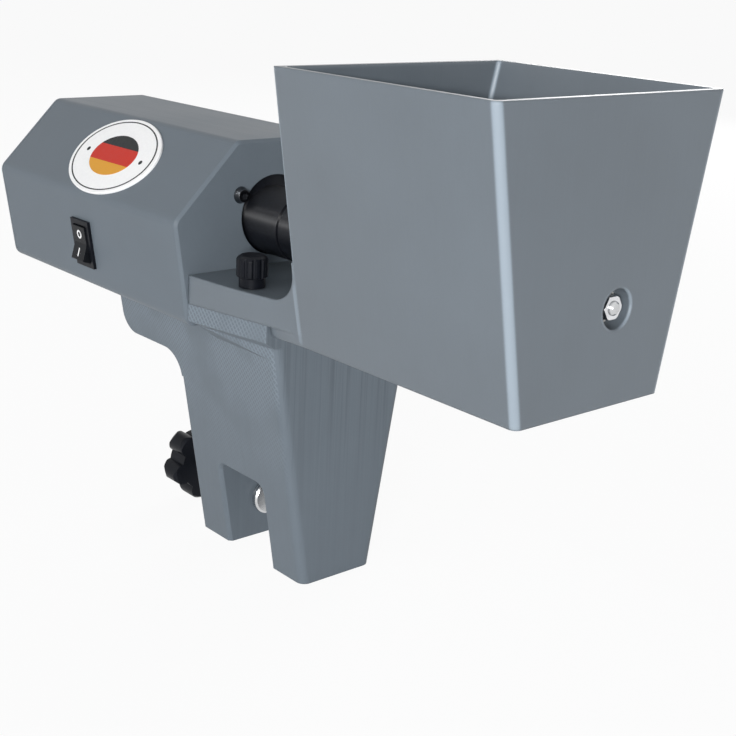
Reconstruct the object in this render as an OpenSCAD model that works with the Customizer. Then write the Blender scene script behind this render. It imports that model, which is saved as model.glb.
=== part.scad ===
// Electric spaetzle maker that clamps on a pot rim.
// The machine runs along X: motor at -X, hopper at +X. The front with the switch faces -Y.
// Z = 0 is the underside of the two feet.

/* [Leg and arm] */
// Motor-side face of the leg, measured from the middle of the machine
leg_x0 = -40.5; // [-44:0.5:-38]
// Length of the leg along the machine
leg_len = 74.6; // [70:0.5:80]
// Width of the leg at its feet
leg_w_foot = 37.8; // [34:0.2:44]
// Width of the leg where the hopper's bottom edge lies
leg_w_top = 74.8; // [70:0.2:78]
// Height of the seat that carries the hopper unit
seat_z = 118; // [112:0.5:126]
// Radius of the leg's upright edges on the hopper side
leg_r = 4; // [2:0.5:6]
// Radius of the leg's upright edges on the motor side
leg_back_r = 1.5; // [1:0.25:4]
// Width of the pot rim slot
slot_w = 31.5; // [26:0.5:34]
// Motor-side wall of the slot
slot_x0 = -19.4; // [-21:0.2:-18]
// Height of the pot rim slot
slot_h = 39.7; // [36:0.5:44]
// Radius of the slot's upper corners
slot_r = 4; // [2:0.5:6]
// Reach of the arm under the motor cover, from the leg's face
arm_reach = 44.5; // [36:0.5:50]
// Height of the arm from its underside to the cover
arm_h = 21.3; // [17:0.1:25]
// Radius of the arm's lower corner
arm_r = 9; // [5:0.5:12]
// Radius of the hollow between the arm and the leg
arm_hollow_r = 11; // [6:0.5:16]
// Height of the shoulder that widens from the leg to the seat
shoulder_h = 16; // [12:0.5:20]
// Width of the guide tongue at its root
tongue_w = 20; // [16:1:26]
// Depth of the guide tongue
tongue_h = 4; // [3:0.2:4.4]

/* [Hopper] */
// Motor-side face of the hopper at its bottom edge
hopper_x0 = 50; // [48:0.5:54]
// Length of the hopper at its bottom edge
hopper_len = 113.4; // [105:0.5:125]
// How far the motor-side wall leans towards the other end, bottom to rim
hopper_lean = 5; // [0:0.5:7]
// Height of the hopper from its bottom edge to its rim
hopper_h = 105.5; // [95:0.5:125]
// Outer width at the bottom edge
hopper_w_bottom = 73.4; // [71:0.2:80]
// Outer width at the rim
hopper_w_rim = 112; // [104:0.5:124]
// Wall thickness at the rim
hopper_wall = 3; // [2.4:0.2:4]
// Radius of the upright corners at the end face
hopper_r = 3; // [2:0.5:6]
// Radius of the upright corners on the motor side
hopper_back_r = 1; // [0.5:0.25:3]
// How far the hopper's bottom edge hangs below the seat
hopper_drop = 4.5; // [4.5:0.1:6]
// Thickness of the bracket floor
floor_t = 12; // [10:0.5:16]
// Radius of the U-shaped cut-out's lower corner
cut_r = 13; // [10:0.5:14]
// Chamfer along the cut-out
cut_chamfer = 3; // [1:0.5:4]

/* [Motor cover] */
// Length of the cover
cover_len = 154.1; // [145:0.5:170]
// End face of the cover on the hopper side
cover_x1 = -9.3; // [-10:0.1:-8]
// Width at the bottom
cover_w_bottom = 97; // [94:0.5:102]
// Width at the widest edge
cover_w_mid = 110; // [104:0.5:114]
// Width of the top facet
cover_w_top = 49.4; // [40:0.5:60]
// Height of the widest edge above the bottom
cover_h_mid = 44.2; // [40:0.5:50]
// Height of the cover
cover_h = 74.9; // [70:0.5:85]
// How far the cover's bottom lies below the seat
cover_drop = 10.2; // [8:0.2:11]
// Wall thickness
cover_wall = 3; // [2:0.2:4]
// Radius of the long edges
cover_r = 5; // [2:0.5:8]
// Chamfer at the two ends
cover_chamfer = 1.2; // [0.6:0.2:2]

/* [Gear motor] */
// Radius of the gear motor where it passes through the cover's end wall
gear_r = 14.2; // [13:0.1:14.6]
// Gap between the gear motor and the bracket floor
gear_floor_gap = 4.3; // [4:0.1:5]
// Offset of the gear motor's axis towards the front
gear_y = -5.4; // [-6:0.1:-5]
// How far the middle of the round opening lies above the gear motor's axis
opening_lift = 2.3; // [1:0.1:2.5]
// Least gap between the gear motor and the round opening
opening_gap = 0.5; // [0.3:0.1:1]
// Reach of the gear motor past the cover's end face
gear_reach = 29.3; // [24:0.1:30]
// Length of the gear head behind the turned groove
gear_cap_len = 8.3; // [6:0.1:10]
// Width of the turned groove
gear_groove = 1.5; // [1:0.1:3]
// Length of the gearbox inside the cover
gear_inside = 30; // [24:1:40]
// Radius of the motor can
can_r = 13.8; // [13:0.1:16]
// Length of the motor can
can_len = 70; // [55:1:80]
// Sideways offset of the output shaft from the gear motor's axis
shaft_dy = 14.1; // [12:0.1:15]
// Height offset of the output shaft from the gear motor's axis
shaft_dz = -0.5; // [-1:0.1:1]
// Radius of the gear head round the output shaft
gear_head_r = 9; // [7:0.5:10]
// Distance of the motor screws from the middle of the opening
motor_screw_reach = 20; // [19.5:0.1:22]
// Angle of the motor screws above the level
motor_screw_angle = 29; // [20:1:40]
// Radius of the motor screws
motor_screw_r = 2; // [1.5:0.25:2]

/* [Drive and rotor] */
// Radius of the shafts
shaft_r = 4; // [3:0.25:5]
// Radius of the coupling halves
coupling_r = 12; // [10:0.5:14]
// Length of each coupling hub without its jaws
hub_len = 10; // [8:0.2:10.2]
// Length of the coupling jaws
jaw_len = 5.6; // [4:0.1:5.8]
// Angle taken out of each jaw for play
jaw_play = 5; // [2:0.5:12]
// Radius of the rotor's paddle tips
rotor_r = 27.5; // [22:0.5:28]
// Number of paddles
paddles = 4; // [3:1:6]
// Thickness of a paddle
paddle_t = 4; // [3:0.2:6]
// Gap between the paddle tips and the trough
trough_gap = 1.5; // [1:0.1:3]
// Outer radius of the bushes
bush_r = 7; // [6:0.25:8]
// Radius of the round recess in the hopper's end face
recess_r = 7.2; // [7:0.1:9]
// Depth of the round recess
recess_depth = 7; // [6.6:0.1:9]
// Width of the end nut across its flats
nut_af = 8; // [7:0.5:9]

/* [Die plate] */
// Width of the outlet over the die plate
outlet_w = 36; // [30:1:40]
// Width of the rim that carries the die plate
die_rim = 6; // [5:0.5:7]
// Thickness of the die plate
die_t = 2; // [1.5:0.1:2.5]
// Radius of the dough holes
dough_r = 3.5; // [2.5:0.1:4]
// Spacing of the dough holes along the machine
dough_pitch = 9.2; // [8.6:0.2:12]

/* [Thumb screw] */
// Position of the thumb screw along the machine
thumb_x = 19.5; // [12:0.5:24]
// Distance of the thumb screw from the middle, towards the front
thumb_y = 37.4; // [34:0.2:38]
// Radius of the fluted knob
thumb_r = 6.3; // [5.5:0.1:7]
// Height of the fluted part
thumb_h = 8.8; // [7:0.2:14]
// Radius of the plain collar
thumb_collar_r = 5.3; // [4.5:0.1:5.4]
// Height of the plain collar
thumb_collar_h = 3.8; // [3:0.2:8]
// Number of flutes
thumb_flutes = 12; // [8:1:16]
// Radius of the threaded stud
thumb_stud_r = 2.5; // [2:0.25:3]

/* [Clamp] */
// Height of the clamp screw above the feet
clamp_z = 18.9; // [18.7:0.1:22]
// Radius of the clamp screw
clamp_r = 4; // [3:0.25:5]
// Radius of the star knob's lobes
star_r = 18.6; // [15:0.1:18.6]
// Number of lobes
star_lobes = 6; // [5:1:8]
// Thickness of the star knob
star_t = 11.5; // [9:0.5:15]
// Free length of screw between the leg and the star knob
star_gap = 26; // [15:0.5:27]
// Radius of the pressure pad
pad_r = 8; // [6:0.2:9]
// Thickness of the pressure pad
pad_t = 4; // [3:0.2:6]

/* [Switch and inlet] */
// Distance of the switch from the cover's end face
switch_back = 79.1; // [60:0.5:110]
// Height of the switch above the cover's bottom edge
switch_up = 20.6; // [16:0.2:28]
// Height of the bezel
bezel_h = 21.6; // [20:0.2:24]
// Width of the bezel
bezel_w = 15.2; // [14:0.2:18]
// Thickness of the bezel's flange
bezel_t = 1.4; // [1:0.1:2]
// Width of the bezel's rim around the rocker
bezel_rim = 2.2; // [1.8:0.1:2.6]
// Tilt of the rocker on either side of its middle
rocker_tilt = 11; // [8:0.5:12]
// Radius of the inlet's flange
inlet_r = 7; // [6:0.25:9]

/* [Screws] */
// Length of the end plate's screws
end_screw_len = 9; // [7:0.5:9.5]
// Length of the screws that hold the cover on the arm
arm_screw_len = 13; // [11:0.5:14]
// Distance of those screws from the middle of the machine
arm_screw_y = 20; // [16:0.5:24]
// Thickness of the arm left over their heads
arm_screw_web = 6; // [5:0.5:7]

/* [Fits] */
// Gap between parts that slide past each other or are fitted together
fit_gap = 0.3; // [0.2:0.05:0.5]
// Radial clearance of shafts and screws in their bores
run_gap = 0.05; // [0.02:0.01:0.08]

/* [Hidden] */
$fn = 72;
hull_fn = 32;
e = 0.01;

// Leg and arm
leg_x1 = leg_x0 + leg_len;
hopper_z = seat_z - hopper_drop;
leg_slope = (leg_w_top - leg_w_foot) / 2 / hopper_z;
shoulder_z = seat_z - shoulder_h;
shoulder_edge_z = seat_z - shoulder_h * 0.45;
shoulder_mid_z = seat_z - shoulder_h * 0.65;
cover_z = seat_z - cover_drop;
arm_x0 = leg_x0 - arm_reach;
arm_z = cover_z - arm_h;
slot_x1 = slot_x0 + slot_w;
lip_x = leg_x1 + fit_gap;

// Hopper and bracket
hopper_x1 = hopper_x0 + hopper_len;
rim_z = hopper_z + hopper_h;
hopper_slope = (hopper_w_rim - hopper_w_bottom) / 2 / hopper_h;
floor_z = seat_z + floor_t;
bracket_x0 = cover_x1 + fit_gap;
bracket_x1 = hopper_x0 + hopper_back_r + 1;

// Drive
gear_z = floor_z + gear_floor_gap + gear_r;
opening_z = gear_z + opening_lift;
opening_r = gear_r + opening_lift + opening_gap;
gear_x1 = cover_x1 + gear_reach;
gear_x0 = cover_x1 - gear_inside;
flange_t = 3;
shaft_y = gear_y + shaft_dy;
shaft_z = gear_z + shaft_dz;
shaft_root = 9;
hub_x0 = gear_x1 + 2;
jaw_x0 = hub_x0 + hub_len;
driven_x0 = jaw_x0 + jaw_len + 0.4;
driven_x1 = driven_x0 + hub_len;
cover_slope = (cover_w_mid - cover_w_bottom) / 2 / cover_h_mid;

// Rotor chamber
trough_r = rotor_r + trough_gap;
chamber_x0 = hopper_x0 + 10;
chamber_x1 = hopper_x1 - 13.4;
funnel_z0 = shaft_z + bush_r + 6.5;
funnel_z1 = funnel_z0 + 20;
rotor_x0 = chamber_x0 + 1.6;
rotor_x1 = chamber_x1 - 1.6;
recess_x = hopper_x1 - recess_depth;
thread_r = shaft_r - 1.5;
washer_t = 1.2;
nut_t = 4;
washer_x = recess_x + fit_gap;
nut_x = washer_x + washer_t;

// Die plate
die_top = shaft_z - rotor_r - 1.6;
die_w = outlet_w + 2 * die_rim;
outlet_x0 = chamber_x0 + 4;
outlet_x1 = chamber_x1 - 4;
die_x0 = outlet_x0 - die_rim;
die_x1 = outlet_x1 + die_rim;
die_rows = 4;
dough_row_pitch = (outlet_w - 2 * dough_r - 3) / (die_rows - 1);
dough_n = floor((outlet_x1 - outlet_x0 - 2 * dough_r - 2) / dough_pitch);

// Screws, switch and inlet
m3_r = 1.5;
m3_head_r = 2.8;
m3_head_h = 2;
insert_wall = 1.6;
arm_screw_x = arm_x0 + arm_r + 4;
switch_x = cover_x1 - switch_back;
switch_tilt = atan(cover_slope);
rocker_w = bezel_w - 2 * bezel_rim - 2 * fit_gap;
rocker_h = bezel_h - 2 * bezel_rim - 2 * fit_gap;
pad_x0 = slot_x0 + fit_gap;
pad_x1 = pad_x0 + pad_t;
star_x1 = leg_x0 - star_gap;
star_x0 = star_x1 - star_t;
cover_x0 = cover_x1 - cover_len;
plate_x1 = cover_x0 + cover_wall;
boss_r = 5;

// Half width of the leg, the hopper and the bracket at a given place
function leg_half(z) = leg_w_foot / 2 + leg_slope * z;
function hopper_half(z) = hopper_w_bottom / 2 + hopper_slope * (z - hopper_z);
function hopper_left(z) = hopper_x0 + hopper_lean * (z - hopper_z) / hopper_h;
function bracket_half(x, z) = cover_w_bottom / 2
    + (hopper_half(z) - cover_w_bottom / 2) * (x - bracket_x0) / (bracket_x1 - bracket_x0);
function cover_half(z) = cover_w_bottom / 2 + cover_slope * (z - cover_z);

// Lays a shape drawn in X and Y so that its Z runs along +X of the machine and its X, Y along Y, Z
module along_x(x, y = 0, z = 0) {
    translate([x, y, z]) rotate([90, 0, 90]) children();
}

// Stretches an outline drawn in X and Z through the whole width of the machine
module across(half) {
    translate([0, half, 0]) rotate([90, 0, 0]) linear_extrude(2 * half) children();
}

module round_rect(x0, x1, y0, y1, r) {
    for (x = [x0 + r, x1 - r], y = [y0 + r, y1 - r]) {
        translate([x, y]) circle(r, $fn = hull_fn);
    }
}

// Thin slice of four corner circles, used between the ends of a loft
module slice(x0, x1, y0, y1, r, z) {
    translate([0, 0, z]) linear_extrude(e) round_rect(x0, x1, y0, y1, r);
}

// Thin upright slice of a section drawn in Y and Z
module section_slice(x, points) {
    along_x(x) linear_extrude(0.5) polygon(points);
}

function mirrored(half_points) = concat(half_points,
    [for (i = [len(half_points) - 1:-1:0]) [-half_points[i][0], half_points[i][1]]]);

// ---- frame ----

module arm() {
    low_z = arm_z - arm_hollow_r;
    section = mirrored([[leg_half(cover_z), cover_z], [leg_half(low_z), low_z]]);
    intersection() {
        across(leg_w_top) difference() {
            union() {
                translate([arm_x0 + arm_r, arm_z]) square([cover_x1 - arm_x0 - arm_r, arm_h]);
                translate([arm_x0, arm_z + arm_r]) square([arm_r + e, arm_h - arm_r]);
                translate([arm_x0 + arm_r, arm_z + arm_r]) circle(arm_r);
                translate([leg_x0 - arm_hollow_r, arm_z - arm_hollow_r])
                    square([cover_x1 - leg_x0 + arm_hollow_r, arm_hollow_r + e]);
            }
            translate([leg_x0 - arm_hollow_r, arm_z - arm_hollow_r]) circle(arm_hollow_r);
            translate([leg_x0 - 2 * arm_hollow_r, arm_z - 2 * arm_hollow_r])
                square([2 * arm_hollow_r, arm_hollow_r]);
        }
        along_x(arm_x0) linear_extrude(cover_x1 - arm_x0) polygon(section);
    }
}

// Widens from the leg to the bracket in two slants, as a hollow sweep does
module shoulder() {
    inner = mirrored([[(cover_w_bottom / 2 + leg_half(shoulder_z)) / 2, shoulder_mid_z],
        [leg_half(shoulder_z), shoulder_z]]);
    hull() {
        section_slice(cover_x1, mirrored([[cover_w_bottom / 2, seat_z], [cover_w_bottom / 2, shoulder_edge_z],
            [(cover_w_bottom / 2 + leg_half(shoulder_z)) / 2, shoulder_mid_z]]));
        section_slice(leg_x1 - 0.5, mirrored([[bracket_half(leg_x1, seat_z), seat_z],
            [bracket_half(leg_x1, seat_z), shoulder_edge_z], [leg_half(shoulder_mid_z), shoulder_mid_z]]));
    }
    hull() {
        section_slice(cover_x1, inner);
        section_slice(leg_x1 - leg_r, mirrored([[leg_half(shoulder_mid_z), shoulder_mid_z],
            [leg_half(shoulder_z), shoulder_z]]));
    }
}

module tongue(gap, x0, x1) {
    w = tongue_w / 2 + gap;
    along_x(x0) linear_extrude(x1 - x0)
        polygon(mirrored([[w, seat_z + gap], [w, seat_z], [w + tongue_h / 2, seat_z - tongue_h - gap]]));
}

module slot_outline(grow) {
    translate([slot_x0 - grow, -1]) square([slot_w + 2 * grow, slot_h - slot_r + 1]);
    translate([slot_x0 + slot_r, -1]) square([slot_w - 2 * slot_r, slot_h + grow + 1]);
    for (x = [slot_x0 + slot_r, slot_x1 - slot_r]) {
        translate([x, slot_h - slot_r]) circle(slot_r + grow);
    }
}

// Softens the slot's edge on one face of the leg
module slot_bevel() {
    hull() {
        translate([0, -leg_half(0), 0]) rotate([90 + atan(leg_slope), 0, 0])
            translate([0, 0, -1.5]) linear_extrude(e) slot_outline(0);
        translate([0, -leg_half(0), 0]) rotate([90 + atan(leg_slope), 0, 0])
            translate([0, 0, 0.2]) linear_extrude(e) slot_outline(1.7);
    }
}

module frame_leg() {
    color("#6c757f") difference() {
        union() {
            hull() {
                for (z = [0, cover_z - e]) {
                    slice(leg_x0, leg_x0 + leg_len / 2, -leg_half(z), leg_half(z), leg_back_r, z);
                    slice(leg_x1 - leg_len / 2, leg_x1, -leg_half(z), leg_half(z), leg_r, z);
                }
            }
            arm();
            shoulder();
        }
        tongue(fit_gap, cover_x1 - 1, leg_x1 + 1);
        across(leg_w_top) slot_outline(0);
        slot_bevel();
        mirror([0, 1, 0]) slot_bevel();
        along_x(leg_x0 - 1, 0, clamp_z) cylinder(h = slot_x0 - leg_x0 + 2, r = clamp_r + fit_gap);
        along_x(leg_x0 - 1, 0, clamp_z) cylinder(h = 17, r = clamp_r + insert_wall);
        for (y = [-arm_screw_y, arm_screw_y]) {
            translate([arm_screw_x, y, arm_z - 1]) {
                cylinder(h = arm_h + 2, r = m3_r + 0.2);
                cylinder(h = arm_h + 1 - arm_screw_web, r = m3_head_r + 0.3);
            }
        }
    }
}

module clamp_insert() {
    color("goldenrod") along_x(leg_x0, 0, clamp_z) difference() {
        cylinder(h = 16, r = clamp_r + insert_wall);
        translate([0, 0, -1]) cylinder(h = 18, r = clamp_r + run_gap);
    }
}

// ---- motor cover ----

module cover_outline(inset) {
    offset(r = cover_r - inset, $fn = hull_fn) offset(delta = -cover_r) polygon(mirrored([
        [cover_w_bottom / 2, cover_z], [cover_w_mid / 2, cover_z + cover_h_mid],
        [cover_w_top / 2, cover_z + cover_h]]));
}

// Places its children on the cover's front face, with -Y pointing out of the face
module on_front() {
    translate([switch_x, -cover_half(cover_z + switch_up), cover_z + switch_up]) rotate([switch_tilt, 0, 0])
        children();
}

module motor_screw_places(x) {
    for (a = [-motor_screw_angle, 180 - motor_screw_angle]) {
        along_x(x, gear_y + motor_screw_reach * cos(a), opening_z + motor_screw_reach * sin(a)) children();
    }
}

module end_screw_places(x) {
    for (s = [-1, 1]) {
        along_x(x, s * (cover_w_bottom / 2 - 11), cover_z + cover_wall + 4) children();
        along_x(x, s * (cover_w_top / 2 - 6), cover_z + cover_h - cover_wall - 4) children();
    }
}

module motor_cover() {
    color("#6f7881") difference() {
        union() {
            difference() {
                hull() {
                    along_x(plate_x1 + fit_gap) linear_extrude(cover_x1 - plate_x1 - fit_gap - cover_chamfer)
                        cover_outline(0);
                    along_x(cover_x1 - e) linear_extrude(e) cover_outline(cover_chamfer);
                }
                along_x(plate_x1) linear_extrude(cover_x1 - cover_wall - plate_x1) cover_outline(cover_wall);
            }
            end_screw_places(plate_x1 + fit_gap) cylinder(h = 14, r = boss_r);
            for (y = [-arm_screw_y, arm_screw_y]) {
                translate([arm_screw_x, y, cover_z + 1]) cylinder(h = 10, r = boss_r);
            }
        }
        along_x(cover_x1 - cover_wall - 1, gear_y, opening_z) cylinder(h = cover_wall + 2, r = opening_r);
        motor_screw_places(cover_x1 - cover_wall - 1) cylinder(h = cover_wall + 2, r = motor_screw_r + 0.2);
        end_screw_places(plate_x1) cylinder(h = 10, r = m3_r);
        for (y = [-arm_screw_y, arm_screw_y]) {
            translate([arm_screw_x, y, cover_z - 1]) cylinder(h = 10, r = m3_r);
        }
        on_front() cube([bezel_w - 2, 4 * cover_wall, bezel_h - 2], center = true);
    }
}

module end_plate() {
    color("#6f7881") difference() {
        hull() {
            along_x(cover_x0 + cover_chamfer) linear_extrude(cover_wall - cover_chamfer) cover_outline(0);
            along_x(cover_x0) linear_extrude(e) cover_outline(cover_chamfer);
        }
        end_screw_places(cover_x0 - 1) {
            cylinder(h = cover_wall + 2, r = m3_r + 0.2);
            cylinder(h = 2.4, r = m3_head_r + 0.3);
        }
        along_x(cover_x0 - 1, 0, gear_z) cylinder(h = cover_wall + 2, r = inlet_r - 1.5);
        along_x(cover_x0 - 1, 0, gear_z) cylinder(h = 2.2, r = inlet_r + fit_gap);
    }
}

// Screw with a domed head; the head's flat side is at 0 and the shank runs along +Z
module pan_screw(len, shank_r = m3_r, head_r = m3_head_r, head_h = m3_head_h) {
    difference() {
        union() {
            cylinder(h = len, r = shank_r);
            translate([0, 0, -head_h]) cylinder(h = head_h, r1 = head_r * 0.7, r2 = head_r);
        }
        translate([0, 0, -head_h - e]) cylinder(h = head_h * 0.6, r = head_r * 0.4, $fn = 6);
    }
}

module end_screws() {
    color("silver") end_screw_places(cover_x0 + 1.4) pan_screw(end_screw_len, m3_r - run_gap, m3_head_r, 1.2);
}

module cover_screws() {
    color("silver") for (y = [-arm_screw_y, arm_screw_y]) {
        translate([arm_screw_x, y, arm_z + arm_h - arm_screw_web]) pan_screw(arm_screw_len, m3_r - run_gap);
    }
}

module motor_screws() {
    color("silver") motor_screw_places(cover_x1) mirror([0, 0, 1])
        pan_screw(cover_wall + flange_t, motor_screw_r - run_gap, 1.8 * motor_screw_r, 1.2 * motor_screw_r);
}

// ---- gear motor ----

module motor_can() {
    color("dimgray") along_x(gear_x0, gear_y, gear_z) mirror([0, 0, 1]) {
        cylinder(h = can_len - 3, r = can_r);
        translate([0, 0, can_len - 3]) cylinder(h = 3, r1 = can_r, r2 = can_r - 2);
        translate([0, 0, can_len]) cylinder(h = 3, r = 6);
        for (s = [-1, 1]) {
            translate([s * 10 - 1.4, -0.4, can_len]) cube([2.8, 0.8, 7]);
        }
    }
}

// Joins the gear head's round body to the round part about the output shaft
module gear_head() {
    lean = acos((gear_r - 0.4 - gear_head_r) / norm([shaft_dy, shaft_dz]));
    turn = atan2(shaft_dz, shaft_dy);
    ends = [[0, 0, gear_r - 0.4, turn + lean], [shaft_dy, shaft_dz, gear_head_r, turn + lean],
        [shaft_dy, shaft_dz, gear_head_r, turn - lean], [0, 0, gear_r - 0.4, turn - lean]];
    along_x(gear_x1 - gear_cap_len, gear_y, gear_z) linear_extrude(gear_cap_len - 0.8) {
        translate([shaft_dy, shaft_dz]) circle(gear_head_r);
        polygon([for (p = ends) [p[0] + p[2] * cos(p[3]), p[1] + p[2] * sin(p[3])]]);
    }
}

module gearbox() {
    groove_x = gear_x1 - gear_cap_len - gear_groove;
    color("#14171c") difference() {
        union() {
            along_x(gear_x0, gear_y, gear_z) rotate_extrude() polygon([[0, 0], [gear_r, 0],
                [gear_r, groove_x - gear_x0], [gear_r - 1.2, groove_x - gear_x0],
                [gear_r - 1.2, groove_x - gear_x0 + gear_groove], [gear_r - 0.4, groove_x - gear_x0 + gear_groove],
                [gear_r - 0.4, gear_x1 - gear_x0 - 0.8], [gear_r - 1.2, gear_x1 - gear_x0],
                [0, gear_x1 - gear_x0]]);
            gear_head();
            along_x(cover_x1 - cover_wall - flange_t, gear_y, opening_z)
                cylinder(h = flange_t, r = motor_screw_reach + 4);
            along_x(gear_x1 - 1, shaft_y, shaft_z) cylinder(h = 2.4, r = shaft_r + 2);
        }
        motor_screw_places(cover_x1 - cover_wall - flange_t - 1) cylinder(h = flange_t + 2, r = motor_screw_r);
        along_x(gear_x1 - shaft_root, shaft_y, shaft_z) cylinder(h = shaft_root + 3, r = shaft_r + run_gap);
    }
}

module output_shaft() {
    root_x = gear_x1 - shaft_root + fit_gap;
    color("silver") along_x(root_x, shaft_y, shaft_z) difference() {
        cylinder(h = jaw_x0 - root_x, r = shaft_r);
        translate([shaft_r - 0.8, -shaft_r, hub_x0 - root_x - 0.4]) cube([2, 2 * shaft_r, hub_len + 2]);
    }
}

// Outline of one coupling's two jaws
module jaws(play) {
    intersection() {
        difference() {
            circle(coupling_r);
            circle(shaft_r + 1.5);
        }
        for (a = [0, 180]) {
            rotate(a) polygon([[0, 0],
                for (t = [play / 2:15:89 - play / 2]) 2 * coupling_r * [cos(t), sin(t)],
                2 * coupling_r * [cos(90 - play / 2), sin(90 - play / 2)]]);
        }
    }
}

module drive_coupling() {
    color("#1b1e23") along_x(hub_x0, shaft_y, shaft_z) difference() {
        union() {
            cylinder(h = hub_len, r = coupling_r);
            translate([0, 0, hub_len]) linear_extrude(jaw_len) jaws(jaw_play);
        }
        translate([0, 0, -1]) difference() {
            cylinder(h = hub_len + 1, r = shaft_r);
            translate([shaft_r - 0.8, -shaft_r, -1]) cube([2, 2 * shaft_r, hub_len + 3]);
        }
        translate([0, 0, hub_len / 2]) rotate([0, 90, 0]) cylinder(h = coupling_r + 1, r = 2);
    }
}

module set_screw(len) {
    difference() {
        cylinder(h = len, r = 2 - run_gap);
        translate([0, 0, len - 2.5]) cylinder(h = 3, r = 1.1, $fn = 6);
    }
}

module drive_set_screw() {
    color("dimgray") along_x(hub_x0 + hub_len / 2, shaft_y, shaft_z) translate([shaft_r - 0.7, 0, 0])
        rotate([0, 90, 0]) set_screw(coupling_r - shaft_r);
}

module driven_coupling() {
    color("#1b1e23") along_x(driven_x1, shaft_y, shaft_z) mirror([0, 0, 1]) difference() {
        union() {
            cylinder(h = hub_len, r = coupling_r);
            translate([0, 0, hub_len]) linear_extrude(jaw_len) rotate(90) jaws(jaw_play);
        }
        translate([0, 0, -1]) cylinder(h = hub_len, r = shaft_r + run_gap / 2);
        translate([0, 0, hub_len / 2]) rotate([0, 90, 0]) cylinder(h = coupling_r + 1, r = 2);
    }
}

module driven_set_screw() {
    color("dimgray") along_x(driven_x0 + hub_len / 2, shaft_y, shaft_z) translate([shaft_r + 0.1, 0, 0])
        rotate([0, 90, 0]) set_screw(coupling_r - shaft_r - 0.4);
}

// ---- hopper unit ----

module hopper_outer() {
    hull() {
        for (z = [hopper_z, rim_z - e]) {
            slice(hopper_left(z), hopper_x1 - 20, -hopper_half(z), hopper_half(z), hopper_back_r, z);
            slice(hopper_left(z) + 20, hopper_x1, -hopper_half(z), hopper_half(z), hopper_r, z);
        }
    }
}

module inner_slice(z) {
    slice(hopper_left(z) + hopper_wall, hopper_x1 - hopper_wall, -hopper_half(z) + hopper_wall,
        hopper_half(z) - hopper_wall, hopper_r / 2, z);
}

// Room above the rotor, the trough round it and the outlet over the die plate
module hopper_room() {
    hull() {
        inner_slice(rim_z + 1);
        inner_slice(funnel_z1);
    }
    hull() {
        inner_slice(funnel_z1);
        slice(chamber_x0, chamber_x1, shaft_y - trough_r, shaft_y + trough_r, 0.5, funnel_z0);
    }
    translate([chamber_x0, shaft_y - trough_r, shaft_z])
        cube([chamber_x1 - chamber_x0, 2 * trough_r, funnel_z0 - shaft_z + e]);
    along_x(chamber_x0, shaft_y, shaft_z) cylinder(h = chamber_x1 - chamber_x0, r = trough_r);
    translate([outlet_x0, shaft_y - outlet_w / 2, hopper_z - 1])
        cube([outlet_x1 - outlet_x0, outlet_w, shaft_z - hopper_z]);
    translate([die_x0 - fit_gap, shaft_y - die_w / 2 - fit_gap, hopper_z - 1])
        cube([die_x1 - die_x0 + 2 * fit_gap, die_w + 2 * fit_gap, die_top - hopper_z + 1]);
}

// Side outline of the air between the cover's end face and the hopper, with its rounded lower corner
module cut_outline() {
    wall_x = hopper_left(floor_z + cut_r);
    difference() {
        polygon([[bracket_x0 - 30, floor_z], [hopper_left(floor_z), floor_z], [wall_x, floor_z + cut_r],
            [hopper_left(rim_z + 20), rim_z + 20], [bracket_x0 - 30, rim_z + 20]]);
        difference() {
            translate([wall_x - cut_r, floor_z - 1]) square([cut_r + 5, cut_r + 1]);
            translate([wall_x - cut_r, floor_z + cut_r]) circle(cut_r);
        }
    }
}

module cut_bevel() {
    turn = atan((cover_w_bottom / 2 - hopper_half(floor_z)) / (bracket_x1 - bracket_x0));
    translate([bracket_x1, -hopper_half(floor_z), 0]) rotate([0, 0, -turn]) hull() {
        translate([-bracket_x1, cut_chamfer, 0]) rotate([90, 0, 0]) linear_extrude(e) cut_outline();
        translate([-bracket_x1, -1, 0]) rotate([90, 0, 0]) linear_extrude(e)
            offset(delta = cut_chamfer + 1) cut_outline();
    }
}

module bracket() {
    difference() {
        union() {
            hull() {
                section_slice(bracket_x0, mirrored([[cover_w_bottom / 2, floor_z], [cover_w_bottom / 2, seat_z]]));
                section_slice(bracket_x1, mirrored([[hopper_half(floor_z + cut_r + 4), floor_z + cut_r + 4],
                    [hopper_half(seat_z), seat_z]]));
            }
            hull() {
                section_slice(lip_x, mirrored([[bracket_half(lip_x, floor_z - 2), floor_z - 2],
                    [hopper_half(hopper_z) + 1.5, hopper_z]]));
                section_slice(bracket_x1, mirrored([[hopper_half(floor_z - 2), floor_z - 2],
                    [hopper_half(hopper_z), hopper_z]]));
            }
        }
        across(cover_w_bottom) cut_outline();
    }
}

module hopper() {
    color("#727b85") difference() {
        union() {
            difference() {
                union() {
                    hopper_outer();
                    bracket();
                }
                hopper_room();
            }
            tongue(0, bracket_x0 + fit_gap, lip_x + 1);
        }
        along_x(hopper_x0 - 20, shaft_y, shaft_z) cylinder(h = chamber_x0 - hopper_x0 + 21, r = bush_r);
        along_x(chamber_x1 - 1, shaft_y, shaft_z) cylinder(h = recess_x - chamber_x1 + 2, r = bush_r);
        along_x(recess_x, shaft_y, shaft_z) cylinder(h = recess_depth + 1, r = recess_r);
        translate([thumb_x, -thumb_y, seat_z - 1]) cylinder(h = floor_t + 2, r = thumb_stud_r + insert_wall);
        for (x = [die_x0 + 3, die_x1 - 3], s = [-1, 1]) {
            translate([x, shaft_y + s * (die_w / 2 - 3), hopper_z]) cylinder(h = die_top - hopper_z + 6, r = m3_r);
        }
    }
}

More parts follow.
